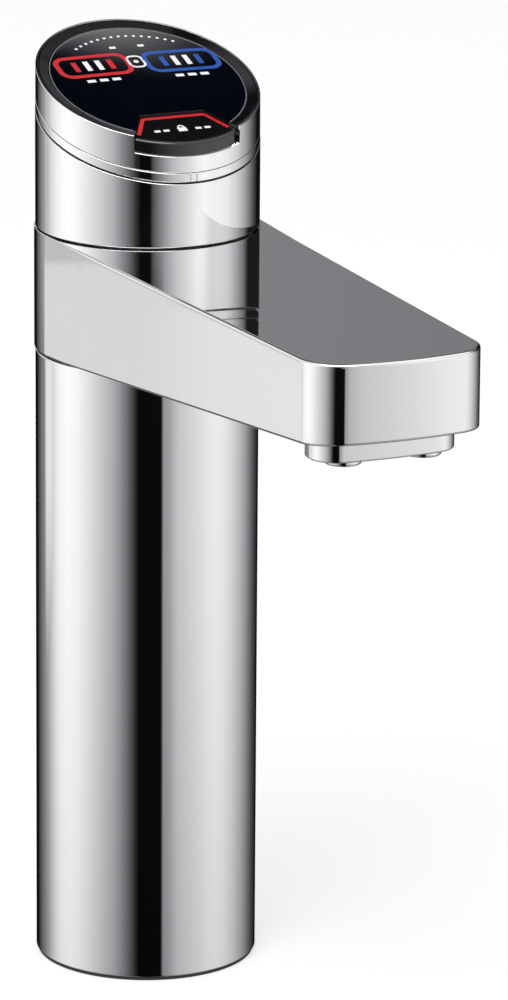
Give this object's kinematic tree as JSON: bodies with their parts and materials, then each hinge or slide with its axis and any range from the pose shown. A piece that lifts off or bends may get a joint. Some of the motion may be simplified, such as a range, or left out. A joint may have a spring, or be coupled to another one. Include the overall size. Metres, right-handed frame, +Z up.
{
  "type": "boiling water tap",
  "caption": "Chrome bench tap for boiling and chilled water: round column, swivelling flat spout arm with two outlets, and a tilted black touch panel with a sprung safety key.",
  "frame": {"origin": "centre of the foot on the bench, on the column's axis", "axes": "+Z up along the column, the spout points to -Y, +X to the right as seen from the spout's side"},
  "size_m": [0.0606, 0.1901, 0.2535],
  "materials": {
    "chrome": "mirror polished chrome plate",
    "brass": "machined",
    "steel": "plain machined",
    "rubber": "matt moulded",
    "black_plastic": "matt moulded",
    "white_plastic": "matt",
    "copper_tube": "drawn stainless tube",
    "cable_jacket": "matt jacket",
    "black_gloss": "high gloss",
    "circuit_board": "solder mask",
    "led_body": "matt",
    "red_line": "gloss"
  },
  "bodies": {
    "tap_body": {"foot_gasket": "rubber", "foot_casting": "brass", "column_tube": "chrome", "column_set_screws": "steel", "tube_clips": "black_plastic", "boiling_feed_tube": "copper_tube", "chilled_feed_tube": "copper_tube", "vent_tube": "white_plastic", "control_cable": "cable_jacket", "swivel_core": "brass", "column_oring": "rubber", "hub_orings": "rubber", "lower_thrust_washer": "white_plastic", "upper_thrust_washer": "white_plastic", "swivel_stop_pin": "steel", "head_shell": "chrome", "head_screws": "steel", "head_collar": "black_plastic", "joint_gasket": "rubber", "trim_ring": "chrome", "cap_ring": "chrome", "bezel_ring": "black_gloss", "panel_carrier": "black_plastic", "touch_disc": "black_gloss", "control_board": "circuit_board", "panel_leds": "led_body", "key_switch": "black_plastic"},
    "spout": {"spout_arm": "chrome", "arm_underplate": "chrome", "underplate_screws": "steel", "boiling_arm_tube": "copper_tube", "chilled_arm_tube": "copper_tube", "outlet_block": "chrome", "block_screw": "steel", "boiling_nozzle": "chrome", "chilled_nozzle": "chrome", "boiling_insert": "white_plastic", "chilled_insert": "white_plastic", "nozzle_orings": "rubber"},
    "safety_button": {"safety_key": "black_gloss", "key_outline": "red_line"}
  },
  "joints": [
    {"name": "spout_swivel", "type": "hinge", "parent": "tap_body", "child": "spout", "pos_m": [0, 0, 0.187], "axis": [0, 0, 1], "range_deg": [-60, 60]},
    {"name": "safety_key_press", "type": "slide", "parent": "tap_body", "child": "safety_button", "axis": [0, 0, -1], "range_m": [0, 0.0008], "stiffness_N_per_m": 2000, "springref_m": -0.0005}
  ]
}
